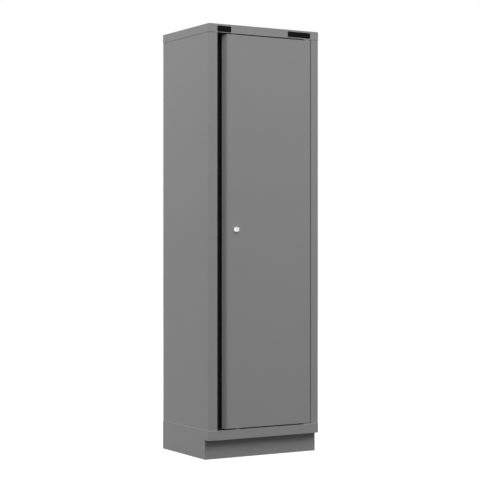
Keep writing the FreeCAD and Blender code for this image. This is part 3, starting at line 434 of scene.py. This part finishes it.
WELD_PITCH = 0.089
WELD_INSET = 0.011  # to the middle of the folded edge, and from its two ends


def weld_mark():
    """Profile of a spot weld under paint, closed below: a low rim round a shallow print."""
    rim = [(0.0036, 0), (0.0031, 0.00016), (0.0025, 0.00018)]
    print_face = [(0.0018, 0.00005), (0, 0.00003)]
    return [(0, 0), *rim, *print_face]


def rear_weld_marks():
    """Rows of spot welds down the folded rear edges of the side panels."""
    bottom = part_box("base_skirt")[1].z + WELD_INSET
    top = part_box("top_cap")[0].z - WELD_INSET
    count = round((top - bottom) / WELD_PITCH)
    mesh = bmesh.new()
    for node in ("left_side_panel", "right_side_panel"):
        low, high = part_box(node)
        x = low.x + WELD_INSET if node.startswith("left") else high.x - WELD_INSET
        for number in range(count + 1):
            place = (x, high.y, bottom + (top - bottom) * number / count)
            add_turned(mesh, weld_mark(), Matrix.Translation(place) @ BACKWARDS)
    add_piece("rear_weld_marks", mesh, "carcass", "grey_paint")


# ---- sealer over the base ----

CORNER_RADIUS = 0.010  # upright front corners of the base
CORNER_STEPS = 8
BEAD_HEIGHT = 0.0021
BEAD_HOLLOW = (0.55, 0.4)  # middle of the fillet's face, as shares of its width and height
BEAD_REAR_GAP = 0.0025
BEAD_EDGE = 0.000105  # soft edges of the bead, which is too thin for those of the sheet


def bead_path(hand, inset):
    """Points along the top of the base, from the back round the front corner to the post's edge.

    "inset" is the distance inside the outer face of the base."""
    low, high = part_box("base_skirt")
    panel_low, panel_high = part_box("left_side_panel")
    panel = node_corners("left_side_panel")
    post_face = [corner.x for corner in panel if corner.y - panel_low.y < TOUCH]
    centre_x = high.x - CORNER_RADIUS
    centre_y = low.y + CORNER_RADIUS
    radius = CORNER_RADIUS - inset
    path = [(high.x - inset, panel_high.y - BEAD_REAR_GAP)]
    for step in range(CORNER_STEPS + 1):
        turn = math.pi / 2 * step / CORNER_STEPS
        path.append((centre_x + radius * math.cos(turn), centre_y - radius * math.sin(turn)))
    path.append((-max(post_face), low.y + inset))
    return [(x * hand, y) for x, y in path]


def base_seam_beads():
    """Painted fillet of sealer on the ledge where the base stands proud of the side panels."""
    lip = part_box("left_side_panel")[0].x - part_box("base_skirt")[0].x
    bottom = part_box("base_skirt")[1].z
    inward, upward = BEAD_HOLLOW
    hollow = (lip * inward, BEAD_HEIGHT * upward)
    section = [(lip, 0), (0, 0), hollow, (lip, BEAD_HEIGHT)]
    mesh = bmesh.new()
    for hand in (-1, 1):
        rows = [
            [mesh.verts.new((x, y, bottom + rise)) for x, y in bead_path(hand, inset)]
            for inset, rise in section
        ]
        for index, row in enumerate(rows):
            before = rows[index - 1]
            for step in range(len(row) - 1):
                mesh.faces.new((before[step], row[step], row[step + 1], before[step + 1]))
        mesh.faces.new([row[0] for row in rows])
        mesh.faces.new([row[-1] for row in rows])
    paint = grey_paint("grey_bead_paint", BEAD_EDGE)
    add_piece("base_seam_beads", mesh, "carcass", "grey_paint", material=paint)


# ---- ends of the finger-pull channel ----

CHANNEL_WALL = 0.002
END_PLATE = 0.0012
END_PLATE_BEVEL = 0.0003


def channel_end_plates():
    """Thin black plates lying inside the finger-pull channel at its foot and at its head, so that
    the bottom and the top of its recess show black.
    """
    low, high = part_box("finger_pull_channel")
    corners = node_corners("finger_pull_channel")
    left = low.x + CHANNEL_WALL
    right = max(corner.x for corner in corners if high.y - corner.y < TOUCH)
    rear = high.y - CHANNEL_WALL
    size = (right - left, rear - low.y, END_PLATE)
    mesh = bmesh.new()
    for bottom in (low.z, high.z - END_PLATE):
        centre = Vector(((left + right) / 2, (low.y + rear) / 2, bottom + END_PLATE / 2))
        bmesh.ops.create_cube(mesh, matrix=Matrix.LocRotScale(centre, None, size))
    bmesh.ops.bevel(mesh, geom=mesh.edges, offset=END_PLATE_BEVEL, segments=2, affect="EDGES")
    add_piece("channel_end_plates", mesh, "carcass", "black_channel")


# ---- threaded studs of the feet ----

THREAD_PITCH = 0.0015
THREAD_DEPTH = 0.00085
THREAD_RIDGE = 0.00142  # height of the ridge, with a small flat between its turns
THREAD_SINK = 0.98  # the ridge starts this share of the root radius from the middle
THREAD_SIDES = 18
PLAIN_TURNS = 2  # turns without a thread, at the two ends together
FIRST_TURN = 0.5  # the thread starts this many turns up


def threaded_stud(foot):
    """Foot stud with its thread: a core with a ridge wound round it."""
    low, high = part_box(f"foot_stud_{foot}")
    middle = (low + high) / 2
    length = high.z - low.z
    crest = (high.x - low.x) / 2
    root = crest - THREAD_DEPTH
    sunk = root * THREAD_SINK
    tip = root - THREAD_DEPTH
    mesh = bmesh.new()
    core = [(0, 0), (root, 0), (root, length - THREAD_PITCH), (tip, length), (0, length)]
    add_turned(mesh, core, Matrix.Translation((middle.x, middle.y, low.z)))
    edge = [(sunk, 0), (crest, THREAD_RIDGE / 2), (sunk, THREAD_RIDGE)]
    turns = length / THREAD_PITCH - PLAIN_TURNS
    start = low.z + THREAD_PITCH * FIRST_TURN
    ridge = []
    for step in range(int(turns * THREAD_SIDES)):
        turn = math.tau * step / THREAD_SIDES
        level = start + THREAD_PITCH * step / THREAD_SIDES
        side_x = math.cos(turn)
        side_y = math.sin(turn)
        ridge.append([
            mesh.verts.new((middle.x + side_x * radius, middle.y + side_y * radius, level + rise))
            for radius, rise in edge
        ])
    for first, second in zip(ridge, ridge[1:]):
        for corner in range(len(edge)):
            last = corner - 1
            mesh.faces.new((first[last], first[corner], second[corner], second[last]))
    mesh.faces.new(ridge[0])
    mesh.faces.new(ridge[-1])
    name = f"threaded_stud_{foot}"
    add_piece(name, mesh, f"foot_{foot}", "zinc_steel", f"foot_stud_{foot}")


# ---- door seal ----

SEAL_BASE = 0.001
SEAL_SEGMENTS = 14
BULB_REACH = 0.36  # half the width of the bulb, as a share of the strip's width


def bulb_seal():
    """Rubber strip with a soft bulb on a flat foot, along the channel's stop flange."""
    low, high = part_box("door_seal_strip")
    middle = (low.x + high.x) / 2
    foot = high.y - SEAL_BASE
    reach = (high.x - low.x) * BULB_REACH
    depth = foot - low.y
    outline = [(low.x, high.y), (low.x, foot)]
    for step in range(SEAL_SEGMENTS + 1):
        turn = math.pi * step / SEAL_SEGMENTS
        outline.append((middle - reach * math.cos(turn), foot - depth * math.sin(turn)))
    outline += [(high.x, foot), (high.x, high.y)]
    mesh = bmesh.new()
    ends = [[mesh.verts.new((x, y, level)) for x, y in outline] for level in (low.z, high.z)]
    for index, (bottom, top) in enumerate(zip(*ends)):
        mesh.faces.new((ends[0][index - 1], bottom, top, ends[1][index - 1]))
    for end in ends:
        mesh.faces.new(end)
    add_piece("bulb_seal", mesh, "carcass", "black_rubber", "door_seal_strip")


hinge_rivets()
keeper_rivets()
guide_rivets()
rear_weld_marks()
base_seam_beads()
channel_end_plates()
for foot in ("front_left", "front_right", "rear_left", "rear_right"):
    threaded_stud(foot)
bulb_seal()

# ---- camera ----

# The view is level, from the front left. The lens is stated for a 36 mm wide sensor.
VIEW_TURN = math.radians(-30.22)
CAMERA_PLACE = (-3.4819, -5.9745, 1.0083)
LENS = 107.92
SENSOR = 36.0
VIEW_DEPTH = 60.0

camera_data = bpy.data.cameras.new("camera")
camera_data.sensor_fit = "HORIZONTAL"
camera_data.sensor_width = SENSOR
camera_data.lens = LENS
camera_data.clip_end = VIEW_DEPTH
camera = bpy.data.objects.new("camera", camera_data)
camera.location = CAMERA_PLACE
camera.rotation_euler = (math.radians(90), 0, VIEW_TURN)
bpy.context.scene.collection.objects.link(camera)
bpy.context.scene.camera = camera

# ---- studio ----

FLOOR_SIZE = 30.0
FLOOR_GLOW = 0.92  # with the lamps' light added, the floor is seen as white
AMBIENT = 0.40
LAMP_TARGET = (0, 0, 1.0)


def seen_as_white(tree):
    """1 for a ray seen by the camera, straight, in a reflection or through glass, else 0."""
    path = tree.nodes.new("ShaderNodeLightPath")
    seen = tree.nodes.new("ShaderNodeMath")
    seen.operation = "MAXIMUM"
    tree.links.new(path.outputs["Is Camera Ray"], seen.inputs[0])
    tree.links.new(path.outputs["Is Glossy Ray"], seen.inputs[1])
    either = tree.nodes.new("ShaderNodeMath")
    either.operation = "MAXIMUM"
    tree.links.new(seen.outputs[0], either.inputs[0])
    tree.links.new(path.outputs["Is Transmission Ray"], either.inputs[1])
    return either.outputs[0]


def studio_floor():
    """Pale floor: it glows white where it is seen, and gives the object little light back."""
    material = bpy.data.materials.new("studio_floor")
    material.use_nodes = True
    tree = material.node_tree
    surface = tree.nodes["Principled BSDF"]
    surface.inputs["Base Color"].default_value = (*FLOOR_PALE, 1.0)
    surface.inputs["Roughness"].default_value = 0.9
    surface.inputs["Specular IOR Level"].default_value = 0.0
    bounce = tree.nodes.new("ShaderNodeBsdfDiffuse")
    bounce.inputs["Color"].default_value = (*FLOOR_BOUNCE, 1.0)
    glow = tree.nodes.new("ShaderNodeEmission")
    glow.inputs["Color"].default_value = (*WHITE, 1.0)
    glow.inputs["Strength"].default_value = FLOOR_GLOW
    both = tree.nodes.new("ShaderNodeAddShader")
    tree.links.new(surface.outputs[0], both.inputs[0])
    tree.links.new(glow.outputs[0], both.inputs[1])
    mix = tree.nodes.new("ShaderNodeMixShader")
    tree.links.new(seen_as_white(tree), mix.inputs[0])
    tree.links.new(bounce.outputs[0], mix.inputs[1])
    tree.links.new(both.outputs[0], mix.inputs[2])
    tree.links.new(mix.outputs[0], tree.nodes["Material Output"].inputs["Surface"])
    half = FLOOR_SIZE / 2
    corners = [(-half, -half, 0), (half, -half, 0), (half, half, 0), (-half, half, 0)]
    mesh = bpy.data.meshes.new("studio_floor")
    mesh.from_pydata(corners, [], [(0, 1, 2, 3)])
    mesh.materials.append(material)
    floor = bpy.data.objects.new("studio_floor", mesh)
    bpy.context.scene.collection.objects.link(floor)


def studio_world():
    """White where it is seen, and an even soft light on the object."""
    world = bpy.data.worlds.new("studio")
    bpy.context.scene.world = world
    world.use_nodes = True
    tree = world.node_tree
    ambient = tree.nodes["Background"]
    ambient.inputs["Color"].default_value = (*WHITE, 1.0)
    ambient.inputs["Strength"].default_value = AMBIENT
    white = tree.nodes.new("ShaderNodeBackground")
    white.inputs["Color"].default_value = (*WHITE, 1.0)
    white.inputs["Strength"].default_value = 1.0
    mix = tree.nodes.new("ShaderNodeMixShader")
    tree.links.new(seen_as_white(tree), mix.inputs[0])
    tree.links.new(ambient.outputs[0], mix.inputs[1])
    tree.links.new(white.outputs[0], mix.inputs[2])
    tree.links.new(mix.outputs[0], tree.nodes["World Output"].inputs["Surface"])


def soft_light(name, place, width, power):
    """Square lamp aimed at the middle of the locker."""
    data = bpy.data.lights.new(name, "AREA")
    data.shape = "SQUARE"
    data.size = width
    data.energy = power
    light = bpy.data.objects.new(name, data)
    light.visible_glossy = False  # no lamp shows as a sheen on the cap's top
    light.location = place
    aim = Vector(LAMP_TARGET) - Vector(place)
    light.rotation_euler = aim.to_track_quat("-Z", "Y").to_euler()
    bpy.context.scene.collection.objects.link(light)


studio_floor()
studio_world()
soft_light("front_light", place=(0.6, -6.2, 8.3), width=7.0, power=965.0)
soft_light("side_light", place=(-5.4, 1.0, 6.6), width=4.0, power=445.0)
soft_light("rear_light", place=(4.5, 7.0, 6.0), width=4.0, power=560.0)

bpy.context.scene.view_settings.view_transform = "Standard"
